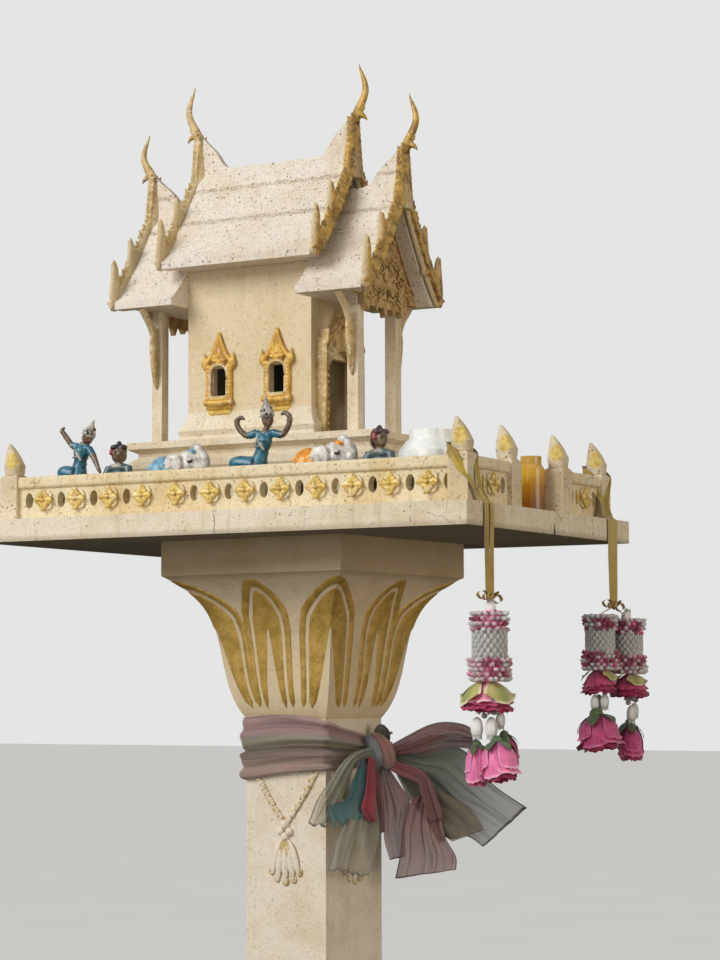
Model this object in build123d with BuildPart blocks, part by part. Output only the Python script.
from build123d import *
import os

os.makedirs("parts", exist_ok=True)

# A spirit house on a square pedestal, in millimetres.
# The origin is the middle of the foot's underside, +Z is up,
# the entrance faces +X and the side with the best view faces -Y.

# Foot and pedestal
foot_width = 320
foot_height = 60
foot_step_width = 220
foot_step_height = 50
shaft_width = 112
pedestal_turn = -5
platform_height = 1300
capital_width = 254
capital_band = 40
capital_height = 205

# Platform slab
slab_length = 640
slab_width = 420
slab_thickness = 26
slab_shift = -11

# Balustrade
rail_height = 51
rail_cap_height = 14
rail_cap_width = 20
rail_thickness = 12
rail_side_inset = 38
rail_end_inset = 24
rosette_count = 12
rosette_spacing = 46
rosette_shift = 6
rosette_level = 23
rosette_petal = 6.5
rosette_depth = 3
hole_width = 11
hole_height = 18
filled_hole = 4
post_width = 24
post_height = 54
bud_height = 38
bud_lean = 7
gate_half_width = 66

# House base
house_centre = -53
base_height = 97
base_length = 342
base_width = 134
base_plate = 8
base_step = 12
base_step_height = 26

# Room
room_length = 170
room_centre = -56
room_width = 110
wall_thickness = 9
wall_height = 201
wall_foot_height = 32
wall_foot_flare = 9
door_width = 74
door_height = 92
door_jamb = 7
door_depth = 14.5
door_gable = 58
window_width = 20
window_height = 34
window_sill = 49.5
window_spacing = 78
window_jamb = 8
window_spire = 36
frame_depth = 5
sill_depth = 9

# Porch columns
column_reach = 142
column_face = 51.5
porch_height = 158
column_width = 14
bracket_drop = 94
bracket_reach = 34
bracket_thickness = 8

# Roofs
eave_half = 92
eave_edge = 8
roof_rise = 125
slope_power = 1.25
roof_overhang = 102
porch_roof_overhang = 169
crest_half = 6
crest_start = 58
crest_rise = 50
shell_drop = 22
tile_lap = 4
tile_lap_half = 60
board_thickness = 8
board_depth = 15
board_proud = 5
tooth_count = 9
tooth_rise = 4
finial_height = 61
finial_width = 17
horn_height = 66
horn_width = 15
pediment_thickness = 7
valance_drop = 22

# Small figures and vessels on the platform, as (x, y) places and heights
figure_gap = 2
dancer_xs = (-245, 1)
dancer_height = 128
servant_xs = (-192, 156)
servant_height = 86
elephant_xs = (-117, 95)
elephant_length = 72
elephant_height = 78
elephant_width = 44
pot_x = 222
pot_width = 72
pot_neck = 48
pot_height = 84
jar_place = (264, 38)
jar_width = 31
jar_height = 66

# Sash tied round the top of the shaft, with its bow on the front
sash_height = 70
sash_thickness = 8
knot_size = (24, 26, 40)
knot_side = 25
knot_level = 1059
bow_turn = 30
bow_thickness = 9

# Garlands hung over the platform's front edge on ribbons from the corner posts
ribbon_width = 14
ribbon_thickness = 3
ribbon_drop = 70
ribbon_collar = 9
ribbon_bow_height = 10
near_garland_y = -162
far_garland_y = 158
near_garland_length = 196
far_garland_length = 188
pair_spread = 24
pair_depth = 8
garland_tube = 21

clearance = 0.4

# Levels and places worked out from the sizes above
slab_top = platform_height + slab_thickness
base_top = slab_top + base_height
room_shift = house_centre - room_centre
wall_top = base_top + wall_height
porch_top = base_top + porch_height
room_half = room_length / 2
wall_y = room_width / 2
rail_y = slab_width / 2 - rail_side_inset
rail_inner_y = rail_y - rail_cap_width / 2
front_rail_x = slab_shift + slab_length / 2 - rail_end_inset
rear_rail_x = slab_shift - slab_length / 2 + rail_end_inset
pedestal_plane = Plane.XY.rotated((0, 0, pedestal_turn))


def save(part, label):
    """Label one finished piece and write its file."""
    part.label = label
    export_step(part, "parts/" + label + ".step")


def slope_z(y, rise=roof_rise):
    """Height of the concave roof slope above its eave at a distance y from the ridge."""
    return rise * (1 - min(abs(y) / eave_half, 1)) ** slope_power


# Foot: a plain stepped square block
with BuildPart() as foot_plinth:
    with BuildSketch(pedestal_plane):
        Rectangle(foot_width, foot_width)
    extrude(amount=foot_height)
    with BuildSketch(pedestal_plane.offset(foot_height)):
        Rectangle(foot_step_width, foot_step_width)
    extrude(amount=foot_step_height)
    chamfer(foot_plinth.faces().sort_by(Axis.Z)[-1].edges(), length=6)
save(foot_plinth.part, "foot_plinth")

# Shaft between the foot and the capital
shaft_base = foot_height + foot_step_height
shaft_top = platform_height - capital_height
with BuildPart() as pillar_shaft:
    with BuildSketch(pedestal_plane.offset(shaft_base)):
        Rectangle(shaft_width, shaft_width)
    extrude(amount=shaft_top - shaft_base)
save(pillar_shaft.part, "pillar_shaft")


def capital_outline():
    """The flared capital seen square on."""
    half = capital_width / 2
    neck = shaft_width / 2
    low = shaft_top
    lip = platform_height - capital_band
    with BuildSketch() as outline:
        with BuildLine():
            Polyline((-half, lip), (-half, platform_height), (half, platform_height), (half, lip))
            Spline((half, lip), (half - 16, lip - 12), (half - 32, lip - 30), (half - 48, lip - 78), (neck, low))
            Line((neck, low), (-neck, low))
            Spline((-neck, low), (48 - half, lip - 78), (32 - half, lip - 30), (16 - half, lip - 12), (-half, lip))
        make_face()
    return outline.sketch


# Capital: the same flared outline seen from two sides
capital_side = capital_outline()
with BuildPart() as capital:
    with BuildSketch(Plane.XZ.rotated((0, 0, pedestal_turn))):
        add(capital_side)
    extrude(amount=capital_width, both=True)
    with BuildSketch(Plane.YZ.rotated((0, 0, pedestal_turn))):
        add(capital_side)
    extrude(amount=capital_width, both=True, mode=Mode.INTERSECT)
save(capital.part, "capital")

# Platform slab
with BuildPart() as platform_slab:
    with BuildSketch(Plane.XY.offset(platform_height)):
        with Locations((slab_shift, 0)):
            Rectangle(slab_length, slab_width)
    extrude(amount=slab_thickness)
save(platform_slab.part, "platform_slab")


def rail(length, holes, rosettes):
    """A rail lying along X, centred on the origin, with its ornament on the -Y face."""
    band = rail_height - rail_cap_height
    with BuildPart() as piece:
        with BuildSketch(Plane.XY):
            Rectangle(length, rail_thickness)
        extrude(amount=band)
        with BuildSketch(Plane.YZ.offset(-length / 2)):
            with Locations((0, band + rail_cap_height / 2)):
                RectangleRounded(rail_cap_width, rail_cap_height, rail_cap_height * 0.3)
        extrude(amount=length)
        with BuildSketch(Plane.XZ.offset(rail_thickness / 2)):
            with Locations(*[(x, rosette_level) for x in rosettes]):
                with PolarLocations(rosette_petal, 4, start_angle=45):
                    Circle(rosette_petal)
        extrude(amount=rosette_depth)
        with BuildSketch(Plane.XZ.offset(-rail_thickness / 2)):
            with Locations(*[(x, rosette_level) for x in holes]):
                Ellipse(hole_width / 2, hole_height / 2)
        extrude(amount=rail_thickness, mode=Mode.SUBTRACT)
    return piece.part


# Side rails with a row of rosettes and an oval hole between each pair
side_length = front_rail_x - rear_rail_x - post_width
rosette_xs = [rosette_shift + (i - (rosette_count - 1) / 2) * rosette_spacing for i in range(rosette_count)]
hole_xs = [rosette_xs[0] + (i - 0.5) * rosette_spacing for i in range(rosette_count + 1) if i != filled_hole]
side_rail = rail(side_length, hole_xs, rosette_xs)
side_middle = (front_rail_x + rear_rail_x) / 2
save(Pos(side_middle, -rail_y, slab_top) * side_rail, "near_rail")
save(Pos(side_middle, rail_y, slab_top) * mirror(side_rail, about=Plane.XZ), "far_rail")

# Rear rail
end_length = 2 * rail_y - post_width
rear_xs = [(i - 2.5) * rosette_spacing for i in range(6)]
rear_rail = rail(end_length, [x + rosette_spacing / 2 for x in rear_xs[:-1]], rear_xs)
save(Pos(rear_rail_x, 0, slab_top) * Rot(0, 0, -90) * rear_rail, "rear_rail")

# Short front rails on each side of the entrance
short_length = rail_y - gate_half_width - post_width
short_rail = rail(short_length, [-short_length / 2 + hole_width, short_length / 2 - hole_width], [0])
short_middle = (rail_y + gate_half_width) / 2
save(Pos(front_rail_x, -short_middle, slab_top) * Rot(0, 0, 90) * short_rail, "front_rail_near")
save(Pos(front_rail_x, short_middle, slab_top) * Rot(0, 0, 90) * short_rail, "front_rail_far")


def bud():
    """A lotus bud with four rounded sides, leaning back a little, standing on the origin."""
    stations = ((0, 0.84, 0), (0.3, 0.94, 0), (0.62, 0.66, 0.35), (0.86, 0.34, 0.75), (1, 0.1, 1))
    with BuildPart() as piece:
        for rise, share, lean in stations:
            side = post_width * share
            with BuildSketch(Plane.XY.offset(bud_height * rise)):
                with Locations((-bud_lean * lean, 0)):
                    RectangleRounded(side, side, side * 0.36)
        loft(ruled=True)
    return piece.part


bud_tip = bud()


def bud_post():
    """A square post with a lotus-bud tip, standing on the origin."""
    with BuildPart() as piece:
        with BuildSketch(Plane.XY):
            Rectangle(post_width, post_width)
        extrude(amount=post_height)
        chamfer(piece.faces().sort_by(Axis.Z)[-1].edges(), length=3)
        add(Pos(0, 0, post_height) * bud_tip)
    return piece.part


# Posts at the corners and beside the entrance
post_places = {
    "post_near_front": (front_rail_x, -rail_y),
    "post_far_front": (front_rail_x, rail_y),
    "post_near_rear": (rear_rail_x, -rail_y),
    "post_far_rear": (rear_rail_x, rail_y),
    "gate_post_near": (front_rail_x, -gate_half_width),
    "gate_post_far": (front_rail_x, gate_half_width),
}
for label, (x, y) in post_places.items():
    save(Pos(x, y, slab_top) * bud_post(), label)


def moulded_block(length, width, outline):
    """A block whose sides follow an outline of (setback, height) points all the way round."""
    with BuildPart() as piece:
        for plane, half in ((Plane.XZ, length / 2), (Plane.YZ, width / 2)):
            with BuildSketch(plane):
                with BuildLine():
                    right = [(half - back, z) for back, z in outline]
                    left = [(back - half, z) for back, z in reversed(outline)]
                    Polyline(*right, *left, close=True)
                make_face()
            extrude(amount=length, both=True, mode=Mode.ADD if half == length / 2 else Mode.INTERSECT)
    return piece.part


# House base: a lower step, a hollowed moulding and a top plate
base_outline = [
    (0, 0),
    (0, base_step_height),
    (base_step, base_step_height + 6),
    (base_step, base_height * 0.55),
    (4, base_height * 0.68),
    (4, base_height * 0.76),
    (base_step, base_height * 0.82),
    (base_step, base_height - base_plate - 5),
    (2, base_height - base_plate),
    (2, base_height),
]
save(Pos(house_centre, 0, slab_top) * moulded_block(base_length, base_width, base_outline), "house_base")

# Flared foot moulding round the room walls, open at the doorway
wall_foot_outline = [
    (0, 0),
    (2, 4),
    (0, 10),
    (4, 16),
    (7, 22),
    (wall_foot_flare, wall_foot_height),
]
wall_foot_block = moulded_block(
    room_length + 2 * wall_foot_flare, room_width + 2 * wall_foot_flare, wall_foot_outline
)
with BuildPart() as wall_foot:
    add(Pos(room_centre, 0, base_top) * wall_foot_block)
    with BuildSketch(Plane.XY.offset(base_top)):
        with Locations((room_centre, 0)):
            Rectangle(room_length, room_width)
        with Locations((room_centre + room_half + wall_foot_flare / 2, 0)):
            Rectangle(3 * wall_foot_flare, door_width + 2 * door_jamb)
    extrude(amount=wall_foot_height, mode=Mode.SUBTRACT)
save(wall_foot.part, "wall_foot")


def side_wall(sign):
    """One long wall of the room with two window openings."""
    with BuildPart() as piece:
        with BuildSketch(Plane.XZ.offset(-sign * wall_y)):
            with Locations((room_centre, (base_top + wall_top) / 2)):
                Rectangle(room_length, wall_height)
            with Locations(*window_centres):
                Rectangle(window_width, window_height, mode=Mode.SUBTRACT)
        extrude(amount=sign * wall_thickness)
    return piece.part


window_level = base_top + window_sill + window_height / 2
window_centres = [(room_centre + s * window_spacing / 2, window_level) for s in (-1, 1)]
save(side_wall(-1), "near_wall")
save(side_wall(1), "far_wall")

# End walls between the side walls, the front one with the doorway
inner_width = room_width - 2 * wall_thickness
with BuildPart() as front_wall:
    with BuildSketch(Plane.YZ.offset(room_centre + room_half - wall_thickness)):
        with Locations((0, (base_top + wall_top) / 2)):
            Rectangle(inner_width, wall_height)
        with Locations((0, base_top + door_height / 2)):
            Rectangle(door_width, door_height, mode=Mode.SUBTRACT)
    extrude(amount=wall_thickness)
save(front_wall.part, "front_wall")

with BuildPart() as rear_wall:
    with BuildSketch(Plane.YZ.offset(room_centre - room_half)):
        with Locations((0, (base_top + wall_top) / 2)):
            Rectangle(inner_width, wall_height)
    extrude(amount=wall_thickness)
save(rear_wall.part, "rear_wall")


def window_frame():
    """A window surround with a spired gable and a sill, lying in XZ with its back on y = 0."""
    half = window_width / 2 + window_jamb
    low = -window_height / 2 - window_jamb
    high = window_height / 2 + 5
    gable = [
        (half, low),
        (half, high - 4),
        (half + 3, high),
        (half + 1, high + 13),
        (half - 5, high + 7),
        (5, high + window_spire * 0.5),
        (2, high + window_spire * 0.72),
        (0, high + window_spire),
    ]
    with BuildPart() as piece:
        with BuildSketch(Plane.XZ):
            with BuildLine():
                Polyline(*gable, *[(-x, z) for x, z in reversed(gable[:-1])], close=True)
            make_face()
            Rectangle(window_width, window_height, mode=Mode.SUBTRACT)
        extrude(amount=frame_depth)
        with BuildSketch(Plane.XZ):
            with Locations((0, low + 3.5)):
                Rectangle(2 * half + 4, 7)
        extrude(amount=sill_depth)
        with BuildSketch(Plane.XZ):
            with BuildLine():
                Polyline((half - 1, low), (half - 2, low - 6), (6, low - 9), (-6, low - 9), (2 - half, low - 6),
                         (1 - half, low), close=True)
            make_face()
        extrude(amount=frame_depth - 2)
    return piece.part


single_frame = window_frame()


def window_frames(sign):
    """The two surrounds of one long wall."""
    turn = Rot(0, 0, 0 if sign < 0 else 180)
    with BuildPart() as piece:
        for x, z in window_centres:
            add(Pos(x, sign * wall_y, z) * turn * single_frame)
    return piece.part


save(window_frames(-1), "window_frames_near")
save(window_frames(1), "window_frames_far")

# Door surround standing proud of the front wall, with an upturned leaf at each end of its gable
door_half = door_width / 2 + door_jamb
door_top = base_top + door_height
door_gable_side = [
    (door_half, base_top),
    (door_half, door_top + 13),
    (door_half - 3, door_top + 20),
    (door_half - 6, door_top + 31),
    (door_half - 11, door_top + 20),
    (door_half - 21, door_top + 27),
    (8, door_top + door_gable * 0.78),
    (0, door_top + door_gable),
]
with BuildPart() as door_frame:
    with BuildSketch(Plane.YZ.offset(room_centre + room_half)):
        with BuildLine():
            Polyline(*door_gable_side, *[(-y, z) for y, z in reversed(door_gable_side[:-1])], close=True)
        make_face()
        with BuildLine():
            arch_start = door_top - 12
            Polyline((-door_width / 2, arch_start), (-door_width / 2, base_top), (door_width / 2, base_top),
                     (door_width / 2, arch_start))
            ThreePointArc((door_width / 2, arch_start), (0, door_top + 8), (-door_width / 2, arch_start))
        make_face(mode=Mode.SUBTRACT)
    extrude(amount=door_depth)
save(door_frame.part, "door_frame")

# Porch columns and the brackets that lean out from them to the eaves
column_x = column_reach - column_width / 2
column_y = column_face - column_width / 2
for end, end_name in ((1, "front"), (-1, "rear")):
    for side, side_name in ((-1, "near"), (1, "far")):
        with BuildPart() as column:
            with BuildSketch(Plane.XY.offset(base_top)):
                with Locations((house_centre + end * column_x, side * column_y)):
                    Rectangle(column_width, column_width)
            extrude(amount=porch_height)
        save(column.part, "column_" + side_name + "_" + end_name)

# Bracket outline as (share of the reach, share of the drop): a slender arm above a lobed leaf
bracket_outline = [
    (0, 0),
    (1.06, 0),
    (0.97, 0.1),
    (0.72, 0.28),
    (0.48, 0.42),
    (0.58, 0.46),
    (0.46, 0.54),
    (0.5, 0.6),
    (0.36, 0.68),
    (0.4, 0.76),
    (0.24, 0.84),
    (0.22, 0.92),
    (0, 1),
]
with BuildPart() as eave_brackets:
    for end in (-1, 1):
        for side in (-1, 1):
            with BuildSketch(Plane.YZ.offset(house_centre + end * column_x - bracket_thickness / 2)):
                with BuildLine():
                    places = [
                        (side * (column_face + out * bracket_reach), porch_top - down * bracket_drop)
                        for out, down in bracket_outline
                    ]
                    Polyline(*places, close=True)
                make_face()
            extrude(amount=bracket_thickness)
save(eave_brackets.part, "eave_brackets")


def slope_points(eave, drop=0):
    """Points down one slope from the crest to the eave, as (y, z)."""
    stations = [0.08, 0.25, 0.45, 0.65, 0.83, 1.0]
    return [(s * eave_half, eave + slope_z(s * eave_half) - drop) for s in stations]


def roof_section(eave_bottom, drop, crest):
    """Cross-section of a roof tier, solid down to its flat underside."""
    eave = eave_bottom + eave_edge
    right = slope_points(eave, drop)
    left = [(-y, z) for y, z in reversed(right)]
    top = eave + roof_rise
    with BuildSketch() as section:
        with BuildLine():
            Spline(*right)
            if crest:
                fin = [(crest_half - 1, top), (3, top + 60), (-3, top + 60), (1 - crest_half, top)]
                Polyline(right[0], *fin, left[-1])
            else:
                Polyline(right[0], (0, right[0][1] + 6), left[-1])
            Spline(*left)
            Polyline(left[0], (-eave_half, eave_bottom - drop), (eave_half, eave_bottom - drop), right[-1])
        make_face()
    return section.sketch


def roof_tier(eave_bottom, start, block_end, end, sweep):
    """A roof tier: its body from start to block_end, and a thin shell that overhangs to end."""
    top = eave_bottom + eave_edge + roof_rise
    outside = roof_section(eave_bottom, 0, True)
    inside = roof_section(eave_bottom, shell_drop, False)
    with BuildPart() as piece:
        with BuildSketch(Plane.YZ.offset(start)):
            add(outside)
        extrude(amount=end - start)
        with BuildSketch(Plane.YZ.offset(block_end)):
            add(inside)
        extrude(amount=end - block_end, mode=Mode.SUBTRACT)
        with BuildSketch(Plane.XZ):
            with BuildLine():
                Line((start, top), (end - sweep, top))
                Spline(
                    (end - sweep, top),
                    (end - sweep * 0.5, top + crest_rise * 0.36),
                    (end, top + crest_rise * 0.82),
                    tangents=((1, 0), (0.65, 0.76)),
                )
                Polyline(
                    (end, top + crest_rise * 0.82),
                    (end, eave_bottom - 60),
                    (start, eave_bottom - 60),
                    (start, top),
                )
            make_face()
        extrude(amount=eave_half * 2, both=True, mode=Mode.INTERSECT)
    return piece.part


# Main roof: a front and a rear half joined over the room, with a raised lap of tiles near the ridge
main_eave = wall_top + eave_edge
lap_slope = [(s * tile_lap_half, main_eave + slope_z(s * tile_lap_half)) for s in (0.12, 0.4, 0.7, 1)]
front_half = roof_tier(wall_top, 0, room_half - room_shift, roof_overhang, roof_overhang - crest_start)
rear_half = roof_tier(wall_top, 0, room_half + room_shift, roof_overhang, roof_overhang - crest_start)
with BuildPart() as main_roof:
    add(front_half)
    mirror(rear_half, about=Plane.YZ)
    with BuildSketch(Plane.YZ.offset(-roof_overhang)):
        for side in (-1, 1):
            with BuildLine():
                upper = [(side * y, z + tile_lap) for y, z in lap_slope]
                lower = [(side * y, z - tile_lap) for y, z in reversed(lap_slope)]
                Polyline(*upper, *lower, close=True)
            make_face()
    extrude(amount=2 * roof_overhang)
    with BuildSketch(Plane.YZ.offset(wall_thickness - room_half - room_shift)):
        with BuildLine():
            cavity = inner_width / 2
            cavity_top = wall_top + slope_z(cavity) - 14
            Polyline(
                (-cavity, wall_top),
                (-cavity, cavity_top),
                (0, wall_top + roof_rise - 26),
                (cavity, cavity_top),
                (cavity, wall_top),
                close=True,
            )
        make_face()
    extrude(amount=room_length - 2 * wall_thickness, mode=Mode.SUBTRACT)
save(Pos(house_centre, 0, 0) * main_roof.part, "main_roof")


def porch_roof(start):
    """One lower roof, from the room's end wall out over its porch."""
    sweep = porch_roof_overhang - room_half - 34
    return roof_tier(porch_top, start, column_reach + 1, porch_roof_overhang, sweep)


# Lower roofs over the front and rear porches
save(Pos(house_centre, 0, 0) * porch_roof(room_half - room_shift), "front_roof")
save(Pos(house_centre, 0, 0) * mirror(porch_roof(room_half + room_shift), about=Plane.YZ), "rear_roof")


def board_outline(eave_bottom):
    """Bargeboard outline: it follows both slopes, with leaf teeth on its upper edge."""
    eave = eave_bottom + eave_edge
    outer = []
    for i in range(2 * tooth_count + 1):
        y = eave_half * (0.05 + 0.95 * i / (2 * tooth_count))
        rise = board_proud + (tooth_rise if i % 2 else 0)
        outer.append((y, eave + slope_z(y) + rise))
    lower = [(eave_half + 3, eave_bottom - 3), (eave_half - 10, eave_bottom - 6)]
    inner = [(s * eave_half, eave + slope_z(s * eave_half) - board_depth) for s in (0.8, 0.6, 0.4, 0.2)]
    right = outer + lower + inner
    apex = (0, eave + roof_rise - board_depth * 2)
    left = [(-y, z) for y, z in reversed(right)]
    with BuildSketch() as outline:
        with BuildLine():
            Polyline(*right, apex, *left, close=True)
        make_face()
    return outline.sketch


def finial_outline(y, base):
    """An upright pointed leaf standing on a slope at y."""
    tip = y + (3 if y > 0 else -3)
    half = finial_width / 2
    with BuildSketch() as outline:
        with BuildLine():
            Spline((y - half, base), (y - half + 1, base + finial_height * 0.5), (tip, base + finial_height))
            Spline((tip, base + finial_height), (y + half, base + finial_height * 0.45), (y + half, base))
            Line((y + half, base), (y - half, base))
        make_face()
    return outline.sketch


def horn_outline(x, z):
    """Side outline of the crest: a neck, a small beak and a slender curved horn."""
    rise = z + crest_rise * 0.82
    out = horn_width
    tip = rise + horn_height
    with BuildSketch() as outline:
        with BuildLine():
            Line((x, z - 2 * board_depth), (x, rise))
            Spline(
                (x, rise),
                (x + out * 0.6, rise + horn_height * 0.22),
                (x + out * 1.2, rise + horn_height * 0.48),
                (x + out * 1.15, rise + horn_height * 0.74),
                (x + out * 0.85, tip),
            )
            Line((x + out * 0.85, tip), (x + out, tip))
            Spline(
                (x + out, tip),
                (x + out * 1.45, rise + horn_height * 0.78),
                (x + out * 1.75, rise + horn_height * 0.46),
                (x + out * 1.25, rise + horn_height * 0.16),
            )
            Polyline(
                (x + out * 1.25, rise + horn_height * 0.16),
                (x + out * 1.6, rise + horn_height * 0.05),
                (x + out * 0.95, rise + 2),
                (x + board_thickness, z - 8),
                (x + board_thickness, z - 2 * board_depth),
                (x, z - 2 * board_depth),
            )
        make_face()
    return outline.sketch


def bargeboard(eave_bottom, place):
    """A bargeboard with two finials a side and the horn that rises from its peak."""
    eave = eave_bottom + eave_edge
    board = board_outline(eave_bottom)
    horn = horn_outline(place, eave + roof_rise)
    finials = []
    for side in (-1, 1):
        for share, sink in ((0.56, 20), (0.93, 12)):
            y = side * share * eave_half
            finials.append(finial_outline(y, eave + slope_z(y) - sink))
    with BuildPart() as piece:
        with BuildSketch(Plane.YZ.offset(place)):
            add(board)
            add(finials)
        extrude(amount=board_thickness)
        with BuildSketch(Plane.XZ):
            add(horn)
        extrude(amount=3.5, both=True)
    return piece.part


main_board = bargeboard(wall_top, roof_overhang)
porch_board = bargeboard(porch_top, porch_roof_overhang)
save(Pos(house_centre, 0, 0) * main_board, "main_bargeboard_front")
save(Pos(house_centre, 0, 0) * mirror(main_board, about=Plane.YZ), "main_bargeboard_rear")
save(Pos(house_centre, 0, 0) * porch_board, "porch_bargeboard_front")
save(Pos(house_centre, 0, 0) * mirror(porch_board, about=Plane.YZ), "porch_bargeboard_rear")

# Porch pediments: flat at the eaves, with a scalloped valance between the columns
valance_half = column_face
valance = [(valance_half, porch_top + eave_edge)]
for i in range(5, 0, -1):
    valance.append((valance_half * i / 5, porch_top - (valance_drop * 0.55 if i % 2 else valance_drop * 0.8)))
    valance.append((valance_half * (i - 0.5) / 5, porch_top - valance_drop * 0.5))
valance.append((0, porch_top - valance_drop))
pediment_section = roof_section(porch_top, shell_drop + clearance, False)
with BuildPart() as pediment:
    with BuildSketch(Plane.YZ.offset(column_reach + 1)):
        add(pediment_section)
        with Locations((0, porch_top - shell_drop)):
            Rectangle(3 * eave_half, 2 * shell_drop, mode=Mode.SUBTRACT)
        with BuildLine():
            Polyline(*valance, *[(-y, z) for y, z in reversed(valance[:-1])], close=True)
        make_face()
    extrude(amount=pediment_thickness)
save(Pos(house_centre, 0, 0) * pediment.part, "front_pediment")
save(Pos(house_centre, 0, 0) * mirror(pediment.part, about=Plane.YZ), "rear_pediment")


def turned(points):
    """A turned solid from the (radius, height) points of its outline."""
    with BuildPart() as piece:
        with BuildSketch(Plane.XZ):
            with BuildLine():
                Polyline((0, points[0][1]), *points, (0, points[-1][1]), close=True)
            make_face()
        revolve(axis=Axis.Z)
    return piece.part


def dancer(height):
    """A kneeling dancer in a tall crown with both arms raised."""
    k = height / 128
    body = turned(
        [(22 * k, 0), (22 * k, 34 * k), (14 * k, 46 * k), (8 * k, 60 * k), (11 * k, 76 * k), (4 * k, 84 * k),
         (4 * k, 88 * k), (8 * k, 92 * k), (8 * k, 102 * k), (6 * k, 110 * k), (1 * k, height)]
    )
    with BuildPart() as piece:
        add(body)
        with BuildSketch(Plane.XZ):
            for side in (-1, 1):
                with BuildLine():
                    Polyline(
                        (side * 6 * k, 78 * k),
                        (side * 20 * k, 66 * k),
                        (side * 29 * k, 68 * k),
                        (side * 33 * k, 88 * k),
                        (side * 24 * k, 93 * k),
                        (side * 27 * k, 78 * k),
                        (side * 20 * k, 74 * k),
                        (side * 8 * k, 82 * k),
                        close=True,
                    )
                make_face()
        extrude(amount=3 * k, both=True)
    return piece.part


def elephant():
    """A standing elephant facing +X, with a saddle cloth over its back."""
    half = elephant_length / 2
    back = elephant_height * 0.62
    girth = elephant_width / 2
    body = turned([(girth * 0.5, -half), (girth * 0.92, -half * 0.7), (girth, 0), (girth * 0.85, half * 0.4)])
    head = turned([(6, -12), (12, -7), (13, 2), (8, 11)])
    with BuildPart() as piece:
        add(Pos(-half * 0.1, 0, back) * Rot(0, 90, 0) * body)
        add(Pos(half * 0.58, 0, back + 10) * Rot(0, 90, 0) * head)
        with BuildSketch(Plane.XY):
            with Locations(*[(x, y) for x in (-half * 0.66, half * 0.22) for y in (-11, 11)]):
                RegularPolygon(8, 8)
        extrude(amount=back)
        with BuildSketch(Plane.XZ):
            with BuildLine():
                Polyline(
                    (half * 0.6, back + 20),
                    (half * 0.88, back + 12),
                    (half, back - 4),
                    (half, back - 30),
                    (half * 0.84, back - 30),
                    (half * 0.8, back - 8),
                    (half * 0.6, back + 2),
                    close=True,
                )
            make_face()
        extrude(amount=4, both=True)
        with BuildSketch(Plane.XZ.offset(-girth - 1)):
            with Locations((-half * 0.2, back + 2)):
                Rectangle(half * 0.8, girth)
        extrude(amount=2 * girth + 2)
    return piece.part


# Dancers, servants and elephants in a row behind the near rail
figure_row_y = -(rail_inner_y - figure_gap - elephant_width / 2)
save(
    Compound(children=[Pos(x, figure_row_y, slab_top) * dancer(dancer_height) for x in dancer_xs]),
    "dancers",
)
servant = turned([(14, 0), (17, 20), (15, 44), (9, 58), (5, 62), (10, 68), (10, 78), (4, servant_height)])
save(Compound(children=[Pos(x, figure_row_y, slab_top) * servant for x in servant_xs]), "servants")
one_elephant = elephant()
save(Compound(children=[Pos(x, figure_row_y, slab_top) * one_elephant for x in elephant_xs]), "elephants")

# Offering pot with a collar, and a glass jar
pot_radius = pot_width / 2
neck_radius = pot_neck / 2
pot_wall = 3
offering_pot = turned(
    [(pot_radius * 0.55, 0), (pot_radius * 0.8, pot_height * 0.2), (pot_radius, pot_height * 0.5),
     (pot_radius, pot_height * 0.72), (pot_radius * 0.75, pot_height * 0.86), (neck_radius, pot_height * 0.88),
     (neck_radius, pot_height), (neck_radius - pot_wall, pot_height), (neck_radius - pot_wall, pot_height * 0.84),
     (pot_radius - pot_wall, pot_height * 0.68), (pot_radius - pot_wall, pot_height * 0.52),
     (pot_radius * 0.7, pot_height * 0.2), (pot_radius * 0.5, pot_wall)]
)
pot_y = -(rail_inner_y - figure_gap - pot_radius)
save(Pos(pot_x, pot_y, slab_top) * offering_pot, "offering_pot")
jar_radius = jar_width / 2
jar_neck = jar_radius * 0.78
jar_wall = 2
jar = turned(
    [(jar_radius, 0), (jar_radius, jar_height * 0.78), (jar_neck, jar_height * 0.86), (jar_neck, jar_height),
     (jar_neck - jar_wall, jar_height), (jar_neck - jar_wall, jar_height * 0.85),
     (jar_radius - jar_wall, jar_height * 0.76), (jar_radius - jar_wall, jar_wall)]
)
save(Pos(*jar_place, slab_top) * jar, "glass_jar")

# Sash band round the shaft
sash_top = shaft_top - clearance
with BuildPart() as sash_band:
    with BuildSketch(pedestal_plane.offset(sash_top - sash_height)):
        RectangleRounded(shaft_width + 2 * sash_thickness, shaft_width + 2 * sash_thickness, 6)
        Rectangle(shaft_width + 2 * clearance, shaft_width + 2 * clearance, mode=Mode.SUBTRACT)
    extrude(amount=sash_height)
save(sash_band.part, "sash_band")

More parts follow.
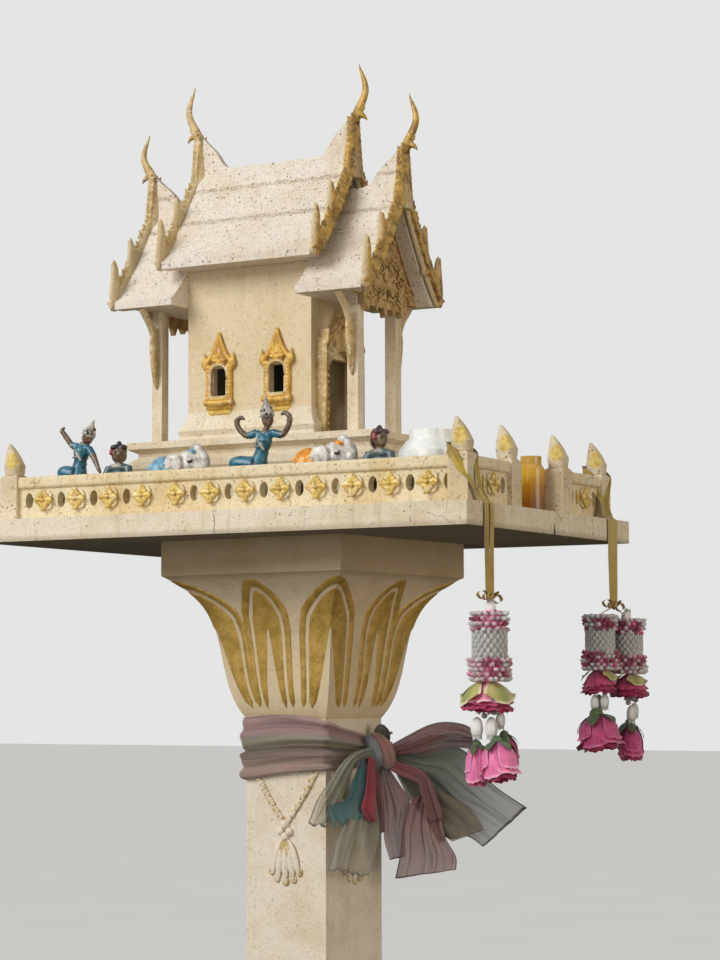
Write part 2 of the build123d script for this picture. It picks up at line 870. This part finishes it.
# Bow: a knot, a loop and stiff tails, as outlines in (along, up) from the knot's middle
knot_out = shaft_width / 2 + sash_thickness + clearance + knot_size[0] / 2
bow_seat = Rot(0, 0, pedestal_turn) * Pos(knot_out, knot_side, knot_level)
bow_plane = Plane(origin=bow_seat.position, x_dir=(1, 0, 0), z_dir=(0, -1, 0)).rotated((0, 0, bow_turn))
short_tails_plane = bow_plane.rotated((0, 0, pedestal_turn - 90 - bow_turn))
loop_outline = [(6, 8), (40, 34), (72, 38), (106, 30), (114, 12), (104, -2), (60, -4), (6, -8)]
wide_tail_outline = [(10, 0), (96, 6), (142, -26), (170, -62), (152, -88), (120, -108), (84, -104), (58, -50), (12, -12)]
long_tail_outline = [(0, -14), (20, -30), (56, -40), (74, -76), (90, -122), (86, -138), (50, -144), (16, -148), (2, -124)]
short_tails_outline = [(6, 8), (64, -8), (124, -48), (148, -76), (112, -86), (92, -132), (22, -142), (-12, -142), (-18, -60)]
bow_layers = [(loop_outline, -bow_thickness), (wide_tail_outline, 0), (long_tail_outline, bow_thickness)]
with BuildPart() as sash_bow:
    with Locations(bow_seat):
        Box(*knot_size)
    for outline, depth in bow_layers:
        with BuildSketch(bow_plane.offset(depth - bow_thickness / 2)):
            with BuildLine():
                Polyline(*outline, close=True)
            make_face()
        extrude(amount=bow_thickness)
    with BuildSketch(short_tails_plane):
        with BuildLine():
            Polyline(*short_tails_outline, close=True)
        make_face()
    extrude(amount=bow_thickness / 2, both=True)
save(sash_bow.part, "sash_bow")

# Ribbons: a collar round the post, a slanting strip to the edge and a hanging strip
edge_x = slab_shift + slab_length / 2
collar_level = slab_top + rail_height + clearance
garland_top = platform_height - ribbon_drop
hang_x = edge_x + clearance + ribbon_thickness / 2


def ribbon(post_y, hang_y, bow_width, bow_depth):
    """A ribbon looped round a corner post and hung over the platform's front edge to a bow."""
    inner = post_width + 2 * clearance
    outer = inner + 2 * ribbon_thickness
    face_x = front_rail_x + inner / 2
    y0 = min(post_y, hang_y) - ribbon_width / 2
    y1 = max(post_y, hang_y) + ribbon_width / 2
    with BuildPart() as piece:
        with BuildSketch(Plane.XY.offset(collar_level)):
            with Locations((front_rail_x, post_y)):
                Rectangle(outer, outer)
                Rectangle(inner, inner, mode=Mode.SUBTRACT)
        extrude(amount=ribbon_collar)
        with BuildSketch(Plane.XZ.offset(-y1)):
            with BuildLine():
                Polyline(
                    (face_x, collar_level),
                    (face_x, collar_level + ribbon_collar),
                    (face_x + ribbon_thickness, collar_level + ribbon_collar),
                    (edge_x + clearance + ribbon_thickness, slab_top + 4),
                    (edge_x + clearance + ribbon_thickness, slab_top - 4),
                    (edge_x + clearance, slab_top - 4),
                    (edge_x + clearance, slab_top + 4),
                    close=True,
                )
            make_face()
        extrude(amount=y1 - y0)
        with BuildSketch(Plane.YZ.offset(edge_x + clearance)):
            with Locations((hang_y, (slab_top + garland_top) / 2)):
                Rectangle(ribbon_width, slab_top - garland_top)
        extrude(amount=ribbon_thickness)
        with Locations((hang_x, hang_y, garland_top + ribbon_bow_height / 2)):
            Box(bow_depth, bow_width, ribbon_bow_height)
    return piece.part


save(ribbon(-rail_y, near_garland_y, 2 * ribbon_width, 3 * ribbon_thickness), "ribbon_near")
save(ribbon(rail_y, far_garland_y, 2 * pair_spread, 2 * pair_depth), "ribbon_far")


def garland(length):
    """One hanging garland: lattice tube between fringes, a rose, beads and rosebuds below."""
    tube = garland_tube
    outline = [(4, 0), (5, -10), (tube, -16), (tube, -58), (tube + 3, -66), (tube + 5, -88), (10, -96)]
    tail = [(10, 50 - length), (tube + 4, 40 - length), (tube + 4, 16 - length), (8, -length)]
    return turned(outline + tail)


save(Pos(hang_x, near_garland_y, garland_top) * garland(near_garland_length), "garland_near")
far_one = garland(far_garland_length)
save(
    Compound(
        children=[
            Pos(hang_x + s * pair_depth, far_garland_y + s * pair_spread, garland_top) * far_one for s in (-1, 1)
        ]
    ),
    "garland_far",
)
